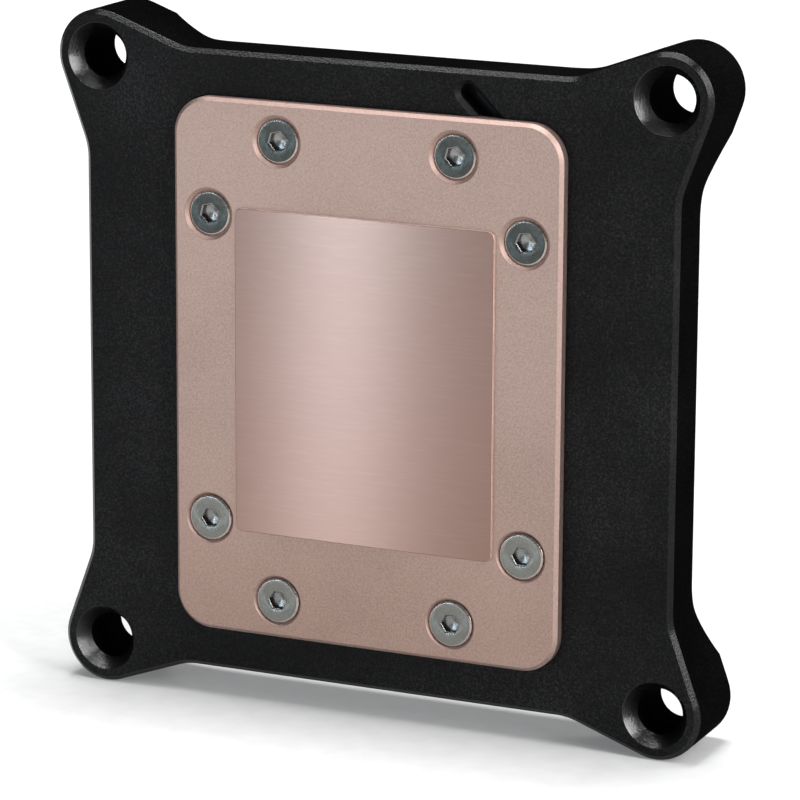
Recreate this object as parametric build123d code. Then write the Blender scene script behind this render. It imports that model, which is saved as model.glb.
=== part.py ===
from build123d import *
import os
from math import cos, radians, sin, tan

# Water block for a processor, standing on its two lower ears with its copper face to the front (-Y).
# All sizes are in millimetres. Depths are measured from the housing's front face towards its back.

# Housing outline and mounting holes
hole_pitch = 80.0
side_to_side = 84.0
housing_thickness = 12.5
ear_radius = 6.1
flank_angle = 20.0
flank_fillet = 8.0
edge_chamfer = 0.65
mount_bore_radius = 3.1
mount_rim_radius = 4.45
mount_rim_depth = 2.0

# Bevel behind each side, cut by a conical cutter that stops short of the ears
bevel_depth = 5.0
bevel_angle = 45.0
cutter_radius = 7.0
cutter_travel = 48.0

# Cold plate
plate_width = 55.0
plate_length = 72.0
plate_corner = 5.0
plate_shift = -0.6
plate_proud = 1.7
plate_sink = 1.3
plate_chamfer = 0.5
island_side_margin = 9.1
island_end_margin = 14.2
island_corner = 1.0
island_rise = 0.4

# Fins on the wet side of the cold plate
fin_thickness = 0.5
fin_pitch = 1.0
fin_height = 2.5
fin_end_gap = 5.0

# Screws of the cold plate: M3, countersunk, 2 mm hexagon socket
end_screw_spacing = 25.0
end_screw_inset = 5.1
side_screw_spacing = 41.2
side_screw_inset = 5.1
screw_length = 8.0
screw_radius = 1.5
head_radius = 2.85
head_recess = 0.65
socket_flats = 2.0
socket_depth = 1.2
tapped_depth = 7.0

# Seal between the cold plate and the housing
seal_wall = 1.0
seal_width = 2.0
seal_height = 1.5

# Coolant path inside the housing
cavity_side_margin = 11.5
cavity_end_margin = 11.0
cavity_corner = 4.0
jet_sheet = 0.5
jet_slot_width = 2.0
jet_slot_margin = 2.0
plenum_margin = 1.4
plenum_width = 6.0
plenum_height = 1.2
web_height = 0.8
trough_width = 8.0
trough_height = 1.2
inlet_radius = 4.0
insert_wall = 1.0
insert_arm = 3.0

# Threaded ports on the back: G 1/4, drilled for tapping
port_spacing = 26.0
port_radius = 5.9
port_depth = 5.0
port_mouth_chamfer = 0.7

# Slot beside the cold plate, where a blade can lift the plate out of its pocket
pry_width = 2.1
pry_depth = 3.0
pry_length = 6.4
pry_end_x = 12.9
pry_end_z = 39.0

# Fits
pocket_clearance = 0.1
insert_clearance = 0.1
seal_clearance = 0.2
thread_clearance = 0.05
cone_clearance = 0.03
plate_hole_clearance = 0.15

# Sizes that follow from the ones above
island_width = plate_width - 2 * island_side_margin
island_length = plate_length - 2 * island_end_margin
cavity_width = plate_width - 2 * cavity_side_margin
cavity_length = plate_length - 2 * cavity_end_margin
fin_length = cavity_length - 2 * fin_end_gap
fin_count = round(cavity_width / fin_pitch) - 2
fin_tips = plate_sink + fin_height
jet_back = fin_tips + jet_sheet
roof = jet_back + plenum_height + web_height + trough_height
total_depth = housing_thickness + plate_proud + island_rise
face_y = plate_proud + island_rise - total_depth / 2
centre_height = hole_pitch / 2 + ear_radius

# On this plane x runs across the block, y runs up it and z points out of its face
face = Plane(origin=(0, face_y, centre_height), x_dir=(1, 0, 0), z_dir=(0, -1, 0))
plate_middle = Pos(plate_shift, 0)
half_side = side_to_side / 2
half_pitch = hole_pitch / 2
quarter_turns = (0, 90, 180, 270)


def slab(sketch, start, stop):
    """Solid over a sketch on the face, between two depths below that face."""
    return extrude(face.offset(-start) * sketch, amount=start - stop)


def cone(x, y, start, stop, start_radius, stop_radius):
    """Cone square to the face, from one depth and radius to another."""
    height = stop - start
    blank = Cone(bottom_radius=stop_radius, top_radius=start_radius, height=height)
    return face * Pos(x, y, -start - height / 2) * blank


def mount_corners():
    """Centres of the four mounting holes."""
    return [(x, y) for x in (-half_pitch, half_pitch) for y in (-half_pitch, half_pitch)]


def screw_places():
    """Centres of the eight plate screws: two at each corner, one near an end and one near a side."""
    end_x = end_screw_spacing / 2
    end_y = plate_length / 2 - end_screw_inset
    side_x = plate_width / 2 - side_screw_inset
    side_y = side_screw_spacing / 2
    places = []
    for x_sign in (-1, 1):
        for y_sign in (-1, 1):
            places.append((plate_shift + x_sign * end_x, y_sign * end_y))
            places.append((plate_shift + x_sign * side_x, y_sign * side_y))
    return places


def housing_outline():
    """Square with a round ear at each corner, whose flanks run straight into filleted sides."""
    lean = radians(flank_angle)
    touch_out = half_pitch + ear_radius * cos(lean)
    touch_up = half_pitch - ear_radius * sin(lean)
    foot_up = touch_up - (touch_out - half_side) / tan(lean)
    corner = make_face(Polyline(
        (half_side, foot_up),
        (touch_out, touch_up),
        (half_pitch, half_pitch),
        (touch_up, touch_out),
        (foot_up, half_side),
        close=True,
    ))
    corner += Pos(half_pitch, half_pitch) * Circle(ear_radius)
    outline = Rectangle(side_to_side, side_to_side)
    for turn in quarter_turns:
        outline += Rot(0, 0, turn) * corner
    feet = [v for v in outline.vertices() if abs(max(abs(v.X), abs(v.Y)) - half_side) < 1e-4]
    return fillet(feet, flank_fillet)


def side_bevel():
    """Cutter for the bevel behind the right side: a slot that widens as it deepens."""
    spread = bevel_depth * tan(radians(bevel_angle))
    place = Pos(half_side + cutter_radius, 0)
    narrow = place * SlotCenterToCenter(cutter_travel, 2 * cutter_radius, rotation=90)
    wide = place * SlotCenterToCenter(cutter_travel, 2 * (cutter_radius + spread), rotation=90)
    start = face.offset(bevel_depth - housing_thickness)
    stop = face.offset(-housing_thickness)
    return loft([start * narrow, stop * wide], ruled=True)


def pry_slot(width):
    """Round-ended slot on the face, running down to the right under the cold plate's edge."""
    reach = pry_length / 2 * cos(radians(45))
    middle = Pos(pry_end_x + reach, pry_end_z - reach)
    return middle * SlotCenterToCenter(pry_length, width, rotation=-45)


def plate_pocket():
    """Shallow pocket in the face that the cold plate drops into."""
    width = plate_width + 2 * pocket_clearance
    length = plate_length + 2 * pocket_clearance
    return plate_middle * RectangleRounded(width, length, plate_corner + pocket_clearance)


def cavity(margin=0.0):
    """Wet opening around the fins, grown by a margin."""
    width = cavity_width + 2 * margin
    length = cavity_length + 2 * margin
    return plate_middle * RectangleRounded(width, length, cavity_corner + margin)


def seal_groove():
    """Ring-shaped groove around the wet opening."""
    groove_width = seal_width + 2 * seal_clearance
    return cavity(seal_wall + groove_width) - cavity(seal_wall)


def port_places():
    """Inlet on the left and outlet on the right, as seen from the front."""
    return [plate_shift - port_spacing / 2, plate_shift + port_spacing / 2]


def housing():
    """Machined housing with its ears, pocket, coolant cavity, seal groove and ports."""
    body = slab(housing_outline(), 0, housing_thickness)
    rims = body.faces().sort_by(Axis.Y)[0].edges() + body.faces().sort_by(Axis.Y)[-1].edges()
    body = chamfer(rims, edge_chamfer)
    bevel = side_bevel()
    block_axis = Axis(face.origin, (0, 1, 0))
    for turn in quarter_turns:
        body -= bevel.rotate(block_axis, turn)
    for x, y in mount_corners():
        body -= slab(Pos(x, y) * Circle(mount_bore_radius), 0, housing_thickness)
        body -= cone(x, y, 0, mount_rim_depth, mount_rim_radius, mount_bore_radius)
        back_rim = housing_thickness - mount_rim_depth
        body -= cone(x, y, back_rim, housing_thickness, mount_bore_radius, mount_rim_radius)
    lip = loft([
        face * pry_slot(pry_width + 2 * edge_chamfer),
        face.offset(-edge_chamfer) * pry_slot(pry_width),
    ], ruled=True)
    body -= lip + slab(pry_slot(pry_width), 0, pry_depth)
    body -= slab(plate_pocket(), 0, plate_sink)
    body -= slab(cavity(), plate_sink, roof)
    body -= slab(seal_groove(), plate_sink, plate_sink + seal_height)
    for x, y in screw_places():
        hole = Pos(x, y) * Circle(screw_radius + thread_clearance)
        body -= slab(hole, plate_sink, plate_sink + tapped_depth)
    mouth = housing_thickness - port_mouth_chamfer
    for x in port_places():
        body -= slab(Pos(x, 0) * Circle(port_radius), housing_thickness - port_depth, housing_thickness)
        body -= cone(x, 0, mouth, housing_thickness, port_radius, port_radius + port_mouth_chamfer)
    return body


def cold_plate():
    """Copper plate with a raised contact island in front and upright fins behind."""
    outline = plate_middle * RectangleRounded(plate_width, plate_length, plate_corner)
    plate = slab(outline, -plate_proud, plate_sink)
    plate = chamfer(plate.faces().sort_by(Axis.Y)[0].edges(), plate_chamfer)
    island = plate_middle * RectangleRounded(island_width, island_length, island_corner)
    plate += slab(island, -plate_proud - island_rise, -plate_proud)
    first_fin = plate_shift - (fin_count - 1) * fin_pitch / 2
    fins = [Pos(first_fin + i * fin_pitch, 0) * Rectangle(fin_thickness, fin_length) for i in range(fin_count)]
    plate += slab(Sketch() + fins, plate_sink, fin_tips)
    hole_radius = screw_radius + plate_hole_clearance
    sink_radius = head_radius + head_recess
    for x, y in screw_places():
        plate -= slab(Pos(x, y) * Circle(hole_radius), -plate_proud, plate_sink)
        sink_floor = sink_radius - hole_radius - plate_proud
        plate -= cone(x, y, -plate_proud, sink_floor, sink_radius, hole_radius)
    return plate


def plate_screw():
    """Countersunk screw at the middle of the face, its head just below the plate's surface."""
    top = head_recess - plate_proud
    seat_radius = head_radius - cone_clearance
    neck = top + seat_radius - screw_radius
    screw = cone(0, 0, top, neck, seat_radius, screw_radius)
    screw += slab(Circle(screw_radius), neck, top + screw_length)
    socket = RegularPolygon(socket_flats / 2, 6, major_radius=False)
    return screw - slab(socket, top, top + socket_depth)


def plate_screws():
    """The eight screws as separate solids."""
    screw = plate_screw()
    return Compound(children=[Pos(x, 0, y) * screw for x, y in screw_places()])


def plate_seal():
    """Square-section ring between the groove's floor and the cold plate."""
    inner = seal_wall + seal_clearance
    ring = cavity(inner + seal_width) - cavity(inner)
    return slab(ring, plate_sink, plate_sink + seal_height)


def jet_plate():
    """Thin sheet on the fin tips, whose slot turns the coolant down into the fins."""
    width = cavity_width - 2 * insert_clearance
    slot = Rectangle(cavity_width - 2 * jet_slot_margin, jet_slot_width)
    sheet = Rectangle(width, fin_length) - slot
    return slab(plate_middle * sheet, fin_tips, jet_back)


def flow_insert():
    """Block between the jet plate and the roof that keeps the inlet and outlet flows apart."""
    width = cavity_width - 2 * insert_clearance
    length = cavity_length - 2 * insert_clearance
    end_gap = (length - fin_length) / 2
    blank = RectangleRounded(width, length, cavity_corner - insert_clearance)
    for side in (-1, 1):
        gap_middle = side * (fin_length + end_gap) / 2
        blank -= Pos(0, gap_middle) * Rectangle(width - 2 * insert_arm, end_gap)
    block = slab(plate_middle * blank, jet_back, roof)
    # The plenum spreads the inlet flow over the jet slot
    plenum = Rectangle(cavity_width - 2 * plenum_margin, plenum_width)
    plenum_back = jet_back + plenum_height
    block -= slab(plate_middle * plenum, jet_back, plenum_back)
    inlet_x = plate_shift - width / 2 + insert_wall + inlet_radius
    block -= slab(Pos(inlet_x, 0) * Circle(inlet_radius), plenum_back, roof)
    # The trough passes behind the plenum and joins both ends of the fins to the outlet
    trough_x = plate_shift + width / 2 - insert_wall - trough_width / 2
    block -= slab(Pos(trough_x, 0) * Rectangle(trough_width, length), roof - trough_height, roof)
    return block


pieces = {
    "housing": housing,
    "cold_plate": cold_plate,
    "plate_seal": plate_seal,
    "jet_plate": jet_plate,
    "flow_insert": flow_insert,
    "plate_screws": plate_screws,
}

os.makedirs("parts", exist_ok=True)
for name, make in pieces.items():
    export_step(make(), f"parts/{name}.step")
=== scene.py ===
from math import cos, pi, radians, sin

import bmesh
import bpy
from mathutils import Matrix, Vector


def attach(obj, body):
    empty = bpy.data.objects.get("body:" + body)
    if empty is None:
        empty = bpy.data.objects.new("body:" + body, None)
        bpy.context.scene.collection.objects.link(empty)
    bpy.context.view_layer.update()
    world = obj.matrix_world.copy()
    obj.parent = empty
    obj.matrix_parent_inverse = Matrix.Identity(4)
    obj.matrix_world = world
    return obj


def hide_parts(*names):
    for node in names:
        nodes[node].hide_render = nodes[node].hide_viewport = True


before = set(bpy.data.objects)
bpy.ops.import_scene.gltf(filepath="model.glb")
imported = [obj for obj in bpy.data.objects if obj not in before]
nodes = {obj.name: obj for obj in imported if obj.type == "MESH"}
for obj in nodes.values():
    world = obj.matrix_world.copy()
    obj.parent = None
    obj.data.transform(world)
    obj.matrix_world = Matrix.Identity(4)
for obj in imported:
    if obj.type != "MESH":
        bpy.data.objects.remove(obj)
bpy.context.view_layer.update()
scene = bpy.context.scene

# Sizes repeated from the part, in metres
middle = Vector((0.0, 0.0, 0.0461))
back_y = 0.0073
plate_y = -0.0069
plate_shift = -0.0006
plate_side = 0.0262
plate_end = 0.0347
island_y = -0.0073
island_end = 0.0205
mount_places = (-0.040, 0.040)
mount_rim = 0.0045
port_places = (plate_shift - 0.013, plate_shift + 0.013)
port_radius = 0.0059
port_mouth = 0.0066
port_floor_y = 0.0023
sink_radius = 0.00347
screw_length = 0.008
screw_radius = 0.0015
end_screws = (0.0125, 0.0309)
side_screws = (0.0224, 0.0206)

# Bounds that tell the slot beside the plate and the housing's front and back from its other faces
slot_side = 0.025
slot_low = 0.030
slot_high = 0.0405
slot_floor_y = -0.0051
front_zone_y = -0.004
back_zone_y = 0.006

# Radius of the screw heads, and depth of their tops under the plate's face
upper_head = (0.00297, 0.00032)
lower_head = (0.00308, 0.00006)

# The island's face seems to fall by this times the squared distance from its middle
crown_bend = 0.7

# Threads of the ports and of the screws
port_thread_pitch = 0.001337
port_thread_outer = 0.0065
screw_thread_pitch = 0.0005
screw_thread_depth = 0.00027

# An edge that turns by more than this is sharp
sharp = radians(25)

# A face is flat on to the front or back, or slopes, when its normal points that way by more than this
flat_on = 0.99
sloped = 0.2

# How closely the height of a face or corner is matched
height_slack = 0.00005

# Noise mostly lies between these values
usual = (0.3, 0.7)

# Lumps to the metre in a blasted or moulded skin
skin_grain = 3600


def feed(tree, socket, value):
    """Links a value to a socket, or sets the socket when the value is constant."""
    if isinstance(value, bpy.types.NodeSocket):
        tree.links.new(value, socket)
    else:
        socket.default_value = value


def add_node(tree, kind, **settings):
    """Adds a shader node; a setting named after a socket feeds that socket."""
    node = tree.nodes.new(kind)
    for key, value in settings.items():
        if hasattr(node, key):
            setattr(node, key, value)
        else:
            feed(tree, node.inputs[key.replace("_", " ")], value)
    return node


def new_material(name, **settings):
    """A node material and its main shader, with the constant values set on the shader's own sockets."""
    material = bpy.data.materials.new(name)
    material.use_nodes = True
    tree = material.node_tree
    shader = tree.nodes["Principled BSDF"]
    for key, value in settings.items():
        shader.inputs[key.replace("_", " ")].default_value = value
    return material, tree, shader


def spread(tree, stretch=(1, 1, 1)):
    """Coordinates of the piece itself, in metres, stretched along its axes."""
    where = add_node(tree, "ShaderNodeTexCoord").outputs["Object"]
    return add_node(tree, "ShaderNodeMapping", Vector=where, Scale=stretch).outputs["Vector"]


def along(tree, where, axis):
    """One coordinate of a place."""
    return add_node(tree, "ShaderNodeSeparateXYZ", Vector=where).outputs[axis]


def grain(tree, where, per_metre, detail=2.0, roughness=0.5):
    """Noise with that many lumps to the metre."""
    noise = add_node(tree, "ShaderNodeTexNoise", Vector=where, Scale=per_metre, Detail=detail,
                     Roughness=roughness)
    return noise.outputs["Fac"]


def remap(tree, value, span, goal):
    """Value carried from one range to another, held at its ends."""
    node = add_node(tree, "ShaderNodeMapRange", Value=value, From_Min=span[0], From_Max=span[1],
                    To_Min=goal[0], To_Max=goal[1])
    return node.outputs["Result"]


def maths(tree, operation, *values):
    """Result of one operation on values that are sockets or numbers."""
    node = add_node(tree, "ShaderNodeMath", operation=operation)
    for socket, value in zip(node.inputs, values):
        feed(tree, socket, value)
    return node.outputs[0]


def tint(tree, value, stops):
    """Colour ramp over a value; stops are (position, colour)."""
    node = add_node(tree, "ShaderNodeValToRGB", Fac=value)
    ramp = node.color_ramp
    while len(ramp.elements) < len(stops):
        ramp.elements.new(0.5)
    for element, (position, colour) in zip(ramp.elements, stops):
        element.position = position
        element.color = (*colour, 1)
    return node.outputs["Color"]


def overlay(tree, factor, below, above, blend_type="MIX"):
    """One colour laid over another."""
    node = add_node(tree, "ShaderNodeMix", data_type="RGBA", blend_type=blend_type,
                    Factor=factor, A=below, B=above)
    return node.outputs["Result"]


def bump(tree, height, depth, shader, under=None):
    """Bump of a depth in metres on a shader's normal, on top of another bump."""
    node = add_node(tree, "ShaderNodeBump", Height=height, Distance=depth, Strength=1.0)
    if under is not None:
        feed(tree, node.inputs["Normal"], under)
    feed(tree, shader.inputs["Normal"], node.outputs["Normal"])
    return node.outputs["Normal"]


def tangent_round(tree, shader, axis):
    """Turns the gloss of a brushed or turned metal round an axis."""
    node = add_node(tree, "ShaderNodeTangent", direction_type="RADIAL", axis=axis)
    feed(tree, shader.inputs["Tangent"], node.outputs["Tangent"])


def black_acetal(name, dark, pale, rough, spec, grain_depth):
    """Black plastic with a fine grain, cloudy patches and a few paler specks, which are painted sparkle of the
    grain catching the light.
    """
    material, tree, shader = new_material(name, Specular_IOR_Level=spec, IOR=1.48)
    where = spread(tree)
    fine = grain(tree, where, skin_grain)
    cloud = grain(tree, where, 60, detail=3.0)
    mix = maths(tree, "MULTIPLY_ADD", fine, 0.8, remap(tree, cloud, usual, (0.0, 0.2)))
    # Painted highlight: the palest specks stand in for the sparkle of the grain catching the light
    sparkle_speck = tuple(2.4 * part for part in pale)
    feed(tree, shader.inputs["Base Color"], tint(tree, mix, [(0.36, dark), (0.56, pale), (0.70, sparkle_speck)]))
    feed(tree, shader.inputs["Roughness"], remap(tree, cloud, usual, (rough - 0.05, rough + 0.05)))
    bump(tree, fine, grain_depth, shader)
    return material


def blasted_copper(name):
    """Copper with a satin, bead-blasted skin, a little darker and rosier towards its lower end, which is painted
    shade.
    """
    material, tree, shader = new_material(name, Metallic=1.0)
    where = spread(tree)
    fine = grain(tree, where, skin_grain, detail=3.0, roughness=0.65)
    cloud = grain(tree, where, 45, detail=4.0, roughness=0.55)
    mix = maths(tree, "MULTIPLY_ADD", fine, 0.75, remap(tree, cloud, usual, (0.0, 0.25)))
    colour = tint(tree, mix, [
        (0.30, (0.278, 0.196, 0.165)), (0.50, (0.356, 0.255, 0.218)), (0.70, (0.424, 0.310, 0.269)),
    ])
    # Painted shade: the colour is darkened and made rosier towards the lower end
    lowness = remap(tree, along(tree, where, "Z"), (0.012, 0.045), (1.0, 0.0))
    rosier_and_shaded = overlay(tree, lowness, colour, (0.97, 0.92, 0.885, 1), "MULTIPLY")
    feed(tree, shader.inputs["Base Color"], rosier_and_shaded)
    feed(tree, shader.inputs["Roughness"], remap(tree, cloud, usual, (0.48, 0.58)))
    bump(tree, fine, 0.00003, shader)
    return material


def brushed_copper(name):
    """Copper ground smooth, with faint lines and scratches from side to side, on a slightly crowned face.

    It is greyer towards its upper end and rosier towards its lower one."""
    material, tree, shader = new_material(name, Metallic=1.0, Anisotropic=1.0, Anisotropic_Rotation=0.25)
    where = spread(tree)
    lines = grain(tree, spread(tree, (0.012, 1, 1)), 6500)
    scratches = grain(tree, spread(tree, (0.09, 1, 1)), 3200, detail=1.0)
    cloud = grain(tree, where, 60, detail=3.0)
    cloud_span = (0.1, 0.9)
    mix = maths(tree, "MULTIPLY_ADD", lines, 0.35, remap(tree, cloud, cloud_span, (0.15, 0.50)))
    colour = tint(tree, mix, [
        (0.25, (0.271, 0.176, 0.147)), (0.50, (0.282, 0.184, 0.155)), (0.75, (0.293, 0.193, 0.162)),
    ])
    ends = (middle.z - island_end, middle.z + island_end)
    shift = tint(tree, remap(tree, along(tree, where, "Z"), ends, (0.0, 1.0)), [
        (0.0, (0.98, 0.93, 0.90)), (0.5, (0.965, 0.945, 0.935)), (1.0, (0.90, 0.915, 0.915)),
    ])
    shifted = overlay(tree, 1.0, colour, shift, "MULTIPLY")
    marks = remap(tree, scratches, (0.50, 0.90), (0.0, 0.09))
    feed(tree, shader.inputs["Base Color"], overlay(tree, marks, shifted, (0.45, 0.34, 0.30, 1)))
    # Kept above 0.274 everywhere, since the denoiser draws lines where the roughness crosses that
    feed(tree, shader.inputs["Roughness"], remap(tree, cloud, cloud_span, (0.277, 0.293)))
    tangent_round(tree, shader, "Z")
    offset = maths(tree, "SUBTRACT", along(tree, where, "X"), plate_shift)
    fall = maths(tree, "MULTIPLY", maths(tree, "MULTIPLY", offset, offset), -crown_bend)
    crown = bump(tree, fall, 1.0, shader)
    bump(tree, lines, 0.0000007, shader, under=crown)
    return material


def turned_steel(name, dark, pale):
    """Plated steel with fine turned rings round the screw's own axis."""
    material, tree, shader = new_material(name, Metallic=1.0, Anisotropic=0.85)
    where = add_node(tree, "ShaderNodeTexCoord").outputs["Object"]
    rings = add_node(tree, "ShaderNodeTexWave", wave_type="RINGS", rings_direction="Y", Vector=where,
                     Scale=3400, Distortion=0.6, Detail=2.0, Detail_Scale=2.0)
    fine = grain(tree, where, 1500)
    feed(tree, shader.inputs["Base Color"], tint(tree, fine, list(zip(usual, (dark, pale)))))
    feed(tree, shader.inputs["Roughness"], remap(tree, fine, usual, (0.24, 0.32)))
    tangent_round(tree, shader, "Y")
    bump(tree, rings.outputs["Fac"], 0.0000012, shader)
    return material


def grained(name, per_metre, dark, pale, rough, depth, stops=usual, stretch=(1, 1, 1), **settings):
    """Material whose colour, roughness and bump follow one fine grain."""
    material, tree, shader = new_material(name, **settings)
    fine = grain(tree, spread(tree, stretch), per_metre, detail=3.0, roughness=0.6)
    feed(tree, shader.inputs["Base Color"], tint(tree, fine, list(zip(stops, (dark, pale)))))
    feed(tree, shader.inputs["Roughness"], remap(tree, fine, usual, rough))
    bump(tree, fine, depth, shader)
    return material


def cut_copper(name, dark, pale):
    """Copper left by the cutter on edges, steps and countersinks."""
    return grained(name, 3000, dark, pale, rough=(0.50, 0.60), depth=0.000008, Metallic=1.0)


def bare_steel(name, dark, pale):
    """Steel of a screw's socket, where the plating is thin, and of its rim, where paler, pinkish steel is a
    painted highlight.
    """
    return grained(name, 2600, dark, pale, rough=(0.22, 0.34), depth=0.0000025, Metallic=1.0)


acetal_face = black_acetal("acetal_face", dark=(0.0021, 0.0021, 0.0022), pale=(0.0086, 0.0086, 0.0088),
                           rough=0.55, spec=0.088, grain_depth=0.00012)
# Painted shade: a darker, nearly glossless copy of the same acetal for side walls, inner faces and the flow
# insert
acetal_wall_shaded = black_acetal("acetal_wall_shaded", dark=(0.0008, 0.0008, 0.0009), pale=(0.0020, 0.0020, 0.0022),
                           rough=0.85, spec=0.003, grain_depth=0.00006)
acetal_cut = black_acetal("acetal_cut", dark=(0.002, 0.002, 0.0022), pale=(0.006, 0.006, 0.0062),
                          rough=0.19, spec=0.18, grain_depth=0.000018)
acetal_lip = black_acetal("acetal_lip", dark=(0.003, 0.003, 0.0033), pale=(0.006, 0.006, 0.0066),
                          rough=0.38, spec=0.13, grain_depth=0.00001)
acetal_thread = black_acetal("acetal_thread", dark=(0.005, 0.005, 0.0053), pale=(0.011, 0.011, 0.0115),
                             rough=0.24, spec=0.40, grain_depth=0.00001)
acetal_sink = black_acetal("acetal_sink", dark=(0.0012, 0.0012, 0.0013), pale=(0.003, 0.003, 0.0032),
                           rough=0.24, spec=0.85, grain_depth=0.00003)
copper_skin = blasted_copper("copper_skin")
copper_lines = brushed_copper("copper_lines")
copper_cut = cut_copper("copper_cut", dark=(0.34, 0.235, 0.205), pale=(0.44, 0.320, 0.285))
# Painted highlight: copper much paler than the rest, for the island's walls to show as bright lines
copper_step_painted_highlight = cut_copper("copper_step_painted_highlight", dark=(0.62, 0.440, 0.385), pale=(0.78, 0.580, 0.520))
copper_sink = cut_copper("copper_sink", dark=(0.32, 0.220, 0.190), pale=(0.42, 0.300, 0.262))
steel = turned_steel("screw_steel", dark=(0.155, 0.157, 0.143), pale=(0.180, 0.182, 0.167))
# Painted shade: a darker copy of the screw steel, for the upper four screws
shaded_steel = turned_steel("screw_steel_painted_shade", dark=(0.040, 0.046, 0.045), pale=(0.064, 0.071, 0.068))
socket_steel = bare_steel("socket_steel", dark=(0.15, 0.15, 0.147), pale=(0.25, 0.25, 0.245))
# Painted highlight: the rim's steel is pale and pinkish so that it shows as a bright arc
rim_steel_painted_highlight = bare_steel("rim_steel_painted_highlight", dark=(0.33, 0.27, 0.245), pale=(0.44, 0.37, 0.34))

# Rolled stainless sheet of the jet plate, and the seal's matt rubber with a dusty bloom
sheet_steel = grained("sheet_steel", 3000, dark=(0.42, 0.43, 0.43), pale=(0.56, 0.57, 0.57),
                      rough=(0.25, 0.38), depth=0.000003, stretch=(1, 1, 0.05), Metallic=1.0)
rubber = grained("rubber", 2500, dark=(0.014, 0.014, 0.014), pale=(0.032, 0.032, 0.031),
                 rough=(0.62, 0.80), depth=0.00001, stops=(0.3, 0.75), Specular_IOR_Level=0.3)


def cad_mesh(node):
    """The solid's own surface with its flat faces whole again, ready for its edges to be rounded."""
    mesh = bmesh.new()
    mesh.from_mesh(nodes[node].data)
    bmesh.ops.remove_doubles(mesh, verts=mesh.verts, dist=1e-6)
    bmesh.ops.dissolve_limit(mesh, angle_limit=radians(0.4), verts=mesh.verts, edges=mesh.edges)
    return mesh


def shade(mesh, angle):
    """Smooth faces, with a crease at every edge that turns by more than the angle."""
    for face in mesh.faces:
        face.smooth = True
    for edge in mesh.edges:
        if len(edge.link_faces) == 2 and edge.calc_face_angle(0) > angle:
            edge.smooth = False


def make_data(mesh, name, materials):
    """Turns mesh code into mesh data with its materials."""
    data = bpy.data.meshes.new(name)
    mesh.to_mesh(data)
    mesh.free()
    for material in materials:
        data.materials.append(material)
    return data


def finish_piece(mesh, name, materials, replaced, edge_width, weighed=False):
    """Turns mesh code into a piece that stands for CAD nodes, with its sharp edges rounded a little."""
    shade(mesh, sharp)
    piece = bpy.data.objects.new(name, make_data(mesh, name, materials))
    scene.collection.objects.link(piece)
    soften = piece.modifiers.new("rounded edges", "BEVEL")
    soften.width = edge_width
    soften.segments = 2
    soften.limit_method = "WEIGHT" if weighed else "ANGLE"
    soften.angle_limit = sharp
    soften.use_clamp_overlap = False
    soften.harden_normals = True
    soften.miter_outer = "MITER_ARC"
    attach(piece, "root")
    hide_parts(*replaced)


def ring(mesh, radius_at, y, count):
    """Ring of vertices round the y axis; the radius may depend on the angle."""
    points = []
    for i in range(count):
        angle = 2 * pi * i / count
        radius = radius_at(angle)
        points.append(mesh.verts.new((radius * cos(angle), y, radius * sin(angle))))
    return points


def bridge(mesh, rings):
    """Quads between each ring and the next."""
    for lower, upper in zip(rings, rings[1:]):
        count = len(lower)
        for i in range(count):
            j = (i + 1) % count
            mesh.faces.new((lower[i], lower[j], upper[j], upper[i]))


def reach(point, x, z):
    """Distance of a point from an axis that runs front to back."""
    return Vector((point.x - x, point.z - z)).length


def is_tapped(face):
    """Whether a face of the housing is the wall or the chamfered mouth of a port."""
    slack = 0.02
    for x in port_places:
        spans = [reach(corner.co, x, middle.z) for corner in face.verts]
        if min(spans) > (1 - slack) * port_radius and max(spans) < (1 + slack) * port_mouth:
            return abs(face.normal.y) < flat_on
    return False


def housing_skin(face):
    """Material of a face of the housing, from its place and from the way it looks."""
    centre = face.calc_center_median()
    height = centre.z - middle.z
    facing = abs(face.normal.y)
    if abs(centre.x) < slot_side and slot_low < height < slot_high and slot_floor_y < centre.y < 0:
        return acetal_lip
    # Side walls and faces between front and back take the acetal darkened as painted shade
    if facing > flat_on:
        return acetal_face if centre.y < front_zone_y or centre.y > back_zone_y else acetal_wall_shaded
    if facing > sloped:
        mount = min(reach(centre, x, middle.z + z) for x in mount_places for z in mount_places)
        return acetal_sink if mount < mount_rim else acetal_cut
    return acetal_wall_shaded


def housing_body():
    """Housing with grained faces, smoother cut chamfers and countersinks, and gaps for its tapped ports."""
    mesh = cad_mesh("housing")
    bmesh.ops.delete(mesh, geom=[face for face in mesh.faces if is_tapped(face)], context="FACES")
    skins = [acetal_face, acetal_wall_shaded, acetal_cut, acetal_sink, acetal_lip]
    for face in mesh.faces:
        face.material_index = skins.index(housing_skin(face))
    finish_piece(mesh, "housing_body", skins, ["housing"], 0.00006)


def tapped_ports(count=120, rows=72):
    """Threaded walls of the two ports; the thread starts in the mouth's chamfer and fades at the floor."""
    mesh = bmesh.new()
    depth = back_y - port_floor_y
    groove = port_thread_outer - port_radius
    rings = []
    for row in range(rows + 1):
        height = depth * row / rows
        mouth = port_mouth - depth + height
        fade = min(1.0, height / port_thread_pitch)

        def wall(angle, height=height, mouth=mouth, fade=fade):
            turn = (height / port_thread_pitch + angle / (2 * pi)) % 1
            return max(mouth, port_radius + groove * fade * min(1.0, 1.2 - 1.2 * abs(2 * turn - 1)))

        rings.append(ring(mesh, wall, port_floor_y + height, count))
    bridge(mesh, rings)
    shade(mesh, pi)
    data = make_data(mesh, "tapped_port", [acetal_thread])
    for number, x in enumerate(port_places, 1):
        port = bpy.data.objects.new(f"tapped_port_{number}", data)
        port.location = (x, 0, middle.z)
        scene.collection.objects.link(port)
        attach(port, "root")
        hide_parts("housing")


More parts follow.
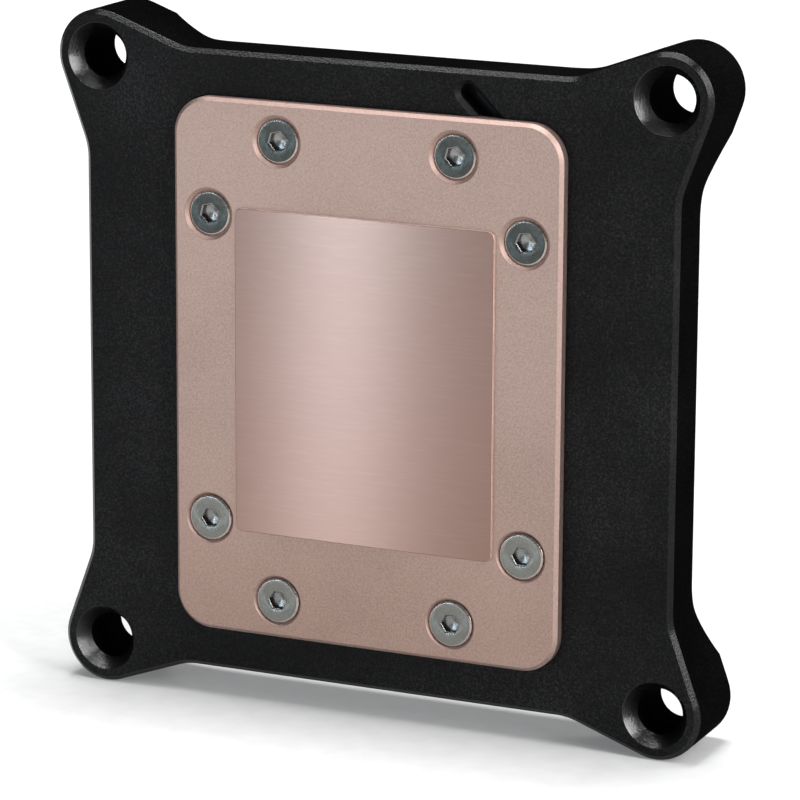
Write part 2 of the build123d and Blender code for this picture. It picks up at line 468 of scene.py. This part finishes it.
def copper_finish(face):
    """Material of a face of the cold plate, from its place and from the way it looks."""
    centre = face.calc_center_median()
    if face.normal.y < -flat_on and centre.y < island_y + height_slack:
        return copper_lines
    if face.normal.y < -flat_on and centre.y < plate_y + height_slack:
        return copper_skin
    if abs(centre.x - plate_shift) > plate_side or abs(centre.z - middle.z) > plate_end:
        return copper_cut
    # The island's walls take the paler copper that paints their highlight
    return copper_step_painted_highlight if centre.y < plate_y - 0.00001 else copper_sink


def copper_body():
    """Cold plate with a blasted skin, a brushed island whose walls are much paler copper as a painted highlight,
    and cut edges and countersinks.
    """
    mesh = cad_mesh("cold_plate")
    finishes = [copper_skin, copper_lines, copper_cut, copper_sink, copper_step_painted_highlight]
    for face in mesh.faces:
        face.material_index = finishes.index(copper_finish(face))
    weight = mesh.edges.layers.float.new("bevel_weight_edge")
    for edge in mesh.edges:
        if len(edge.link_faces) == 2 and edge.calc_face_angle(0) > sharp:
            rim = all(corner.co.y < island_y + height_slack for corner in edge.verts)
            edge[weight] = 1.0 if rim else 0.4
    finish_piece(mesh, "copper_plate", finishes, ["cold_plate"], 0.00013, weighed=True)


def screw_shape(skin, head_radius, depth, count=72):
    """Countersunk screw with a hexagon socket, its axis along y and its head's top at zero, facing -y.

    The head's rim is as high as the countersink leaves it when its top is that deep under the plate."""
    mesh = bmesh.new()
    flat = 0.00111
    land = sink_radius - head_radius - depth
    neck = land + head_radius - screw_radius
    rim_width = 0.00028
    round_off = min(0.00019, land - 0.00001)
    thread_margin = 0.0003
    tip_chamfer = 0.0004
    steps_per_turn = 8

    def hexagon(margin):
        return lambda angle: (flat + margin) / cos((angle + pi / 6) % (pi / 3) - pi / 6)

    def circle(radius):
        return lambda angle: radius

    # From the drill's point out through the socket and over the head's rim, then in to the shank
    outline = [
        (circle(0.00003), 0.00143),
        (circle(0.00050), 0.00130),
        (circle(0.00098), 0.00117),
        (hexagon(0.0), 0.00115),
        (hexagon(0.0), 0.00060),
        (hexagon(0.0), 0.00014),
        (hexagon(0.00007), 0.00005),
        (hexagon(0.00017), 0.0),
        (circle(0.00190), 0.0),
        (circle(0.00240), 0.0),
        (circle(head_radius - rim_width), 0.0),
        (circle(head_radius - 0.00020), 0.16 * round_off),
        (circle(head_radius - 0.00008), 0.53 * round_off),
        (circle(head_radius), round_off),
        (circle(head_radius), land),
        (circle(screw_radius), neck),
    ]
    rings = [ring(mesh, radius_at, y, count) for radius_at, y in outline]
    start = neck + thread_margin
    stop = screw_length - thread_margin
    steps = int((stop - start) / (screw_thread_pitch / steps_per_turn))
    for step in range(steps + 1):
        y = start + (stop - start) * step / steps
        fade = min(1.0, (y - start) / screw_thread_pitch, (stop - y) / screw_thread_pitch + 0.3)

        def thread(angle, y=y, fade=fade):
            turn = (y / screw_thread_pitch + angle / (2 * pi)) % 1
            return screw_radius - screw_thread_depth * fade * abs(2 * turn - 1)

        rings.append(ring(mesh, thread, y, count))
    rings.append(ring(mesh, circle(screw_radius - tip_chamfer), screw_length, count))
    bridge(mesh, rings)
    mesh.faces.new(rings[0])
    mesh.faces.new(rings[-1])
    bmesh.ops.recalc_face_normals(mesh, faces=mesh.faces)
    shade(mesh, radians(28))
    finishes = [skin, socket_steel, rim_steel_painted_highlight]
    # Bare within this distance of the axis: the socket and the flanks of the thread
    bare_reach = 1.34 * flat
    for face in mesh.faces:
        spans = [corner.co.xz.length for corner in face.verts]
        if max(spans) < bare_reach:
            face.material_index = finishes.index(socket_steel)
        # The rim takes the pale steel that paints its highlight
        elif min(spans) > head_radius - rim_width - 0.00001:
            face.material_index = finishes.index(rim_steel_painted_highlight)
    return make_data(mesh, "plate_screw", finishes)


def plate_screws():
    """Eight screws, each turned as it was tightened; the upper four take a darker copy of the steel, which is
    painted shade.
    """
    shapes = {1: screw_shape(shaded_steel, *upper_head), -1: screw_shape(steel, *lower_head)}
    depths = {1: upper_head[1], -1: lower_head[1]}
    turns = {
        (-1, 1, "end"): 17, (-1, 1, "side"): 15, (1, 1, "end"): 16, (1, 1, "side"): 24,
        (-1, -1, "end"): 33, (-1, -1, "side"): 25, (1, -1, "end"): 27, (1, -1, "side"): 30,
    }
    for number, ((x_sign, z_sign, place), turn) in enumerate(turns.items(), 1):
        across, up = end_screws if place == "end" else side_screws
        screw = bpy.data.objects.new(f"plate_screw_{number}", shapes[z_sign])
        screw.location = (plate_shift + x_sign * across, plate_y + depths[z_sign], middle.z + z_sign * up)
        screw.rotation_euler = (0, radians(turn), 0)
        scene.collection.objects.link(screw)
        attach(screw, "root")
        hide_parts("plate_screws")


housing_body()
tapped_ports()
copper_body()
plate_screws()

# The flow insert takes the acetal darkened as painted shade
for node, material in (("flow_insert", acetal_wall_shaded), ("jet_plate", sheet_steel), ("plate_seal", rubber)):
    nodes[node].data.materials.clear()
    nodes[node].data.materials.append(material)


def seen_by(tree):
    """One for what is seen directly, in gloss or through glass, and nought for the light that falls."""
    path = add_node(tree, "ShaderNodeLightPath")
    seen = path.outputs["Is Camera Ray"]
    for kind in ("Is Glossy Ray", "Is Transmission Ray"):
        seen = maths(tree, "MAXIMUM", seen, path.outputs[kind])
    return seen


def glowing_paper(name):
    """Pale paper that is seen, directly or mirrored, as white outside the block's shadow, and lights nothing."""
    material, tree, shader = new_material(name, Roughness=0.9, Specular_IOR_Level=0.1,
                                          Emission_Color=(1, 1, 1, 1))
    where = spread(tree)
    fibres = grain(tree, where, 300, detail=3.0)
    pale = tint(tree, fibres, list(zip(usual, ((0.49, 0.49, 0.49), (0.53, 0.53, 0.53)))))
    feed(tree, shader.inputs["Base Color"], pale)
    ahead = remap(tree, along(tree, where, "Y"), (-0.05, -0.25), (0.15, 0.66))
    beside = remap(tree, along(tree, where, "X"), (0.06, 0.16), (1.0, 0.0))
    distance = add_node(tree, "ShaderNodeVectorMath", operation="LENGTH", Vector=where).outputs["Value"]
    far = remap(tree, distance, (0.15, 1.10), (0.0, 0.80))
    glow = maths(tree, "ADD", maths(tree, "MULTIPLY", ahead, beside), far)
    feed(tree, shader.inputs["Emission Strength"], maths(tree, "MULTIPLY", glow, seen_by(tree)))
    return material


floor_mesh = bmesh.new()
bmesh.ops.create_grid(floor_mesh, x_segments=8, y_segments=8, size=4.0)
floor = bpy.data.objects.new("floor", make_data(floor_mesh, "floor", [glowing_paper("floor_paper")]))
scene.collection.objects.link(floor)


def soft_lamp(name, place, size, power, aim=(0, 0, 0.05), colour=(1, 1, 1)):
    """Rectangular softbox that looks at a point and isn't seen by the camera."""
    light = bpy.data.lights.new(name, "AREA")
    light.shape = "RECTANGLE"
    light.size, light.size_y = size
    light.energy = power
    light.color = colour
    lamp = bpy.data.objects.new(name, light)
    lamp.location = place
    lamp.rotation_euler = (Vector(aim) - Vector(place)).to_track_quat("-Z", "Y").to_euler()
    lamp.visible_camera = False
    scene.collection.objects.link(lamp)


soft_lamp("overhead", place=(0.00, 0.11, 1.04), size=(0.34, 0.24), power=11.0)
soft_lamp("overhead_strip", place=(-0.07, -0.21, 1.02), size=(1.00, 0.12), power=4.2)
soft_lamp("right_strip", place=(0.80, -0.375, 0.50), size=(0.10, 0.90), power=5.2)
soft_lamp("side_strip", place=(0.92, -0.12, 0.42), size=(0.18, 0.78), power=5.6)
soft_lamp("left", place=(-0.72, -0.72, 0.14), size=(0.12, 0.16), power=0.7)
soft_lamp("behind", place=(0.45, 0.85, 0.62), size=(0.40, 0.40), power=3.0)
soft_lamp("strip", place=(-0.548, -1.160, 0.28), size=(0.08, 0.46), power=2.7, aim=(0, 0, 0.10),
          colour=(0.66, 0.85, 1.0))

# Even light of the room
world = bpy.data.worlds.new("room")
scene.world = world
world.use_nodes = True
background = world.node_tree.nodes["Background"]
background.inputs["Color"].default_value = (1, 1, 1, 1)
background.inputs["Strength"].default_value = 0.18

# Camera at the photograph's place, turned a little about its own axis
eye = Vector((0.22368, -0.49184, 0.17501))
target = Vector((0.003869, -0.0052, 0.044081))
roll = radians(0.304)
ahead = (target - eye).normalized()
right = ahead.cross(Vector((0, 0, 1))).normalized()
up = right.cross(ahead)
turned_right = cos(roll) * right + sin(roll) * up
turned_up = cos(roll) * up - sin(roll) * right
lens = bpy.data.cameras.new("camera")
lens.sensor_width = 36
lens.lens = 190.55
lens.clip_start = 0.01
camera = bpy.data.objects.new("camera", lens)
turn = Matrix((turned_right, turned_up, -ahead)).transposed().to_4x4()
camera.matrix_world = Matrix.Translation(eye) @ turn
scene.collection.objects.link(camera)
scene.camera = camera

scene.view_settings.view_transform = "Standard"
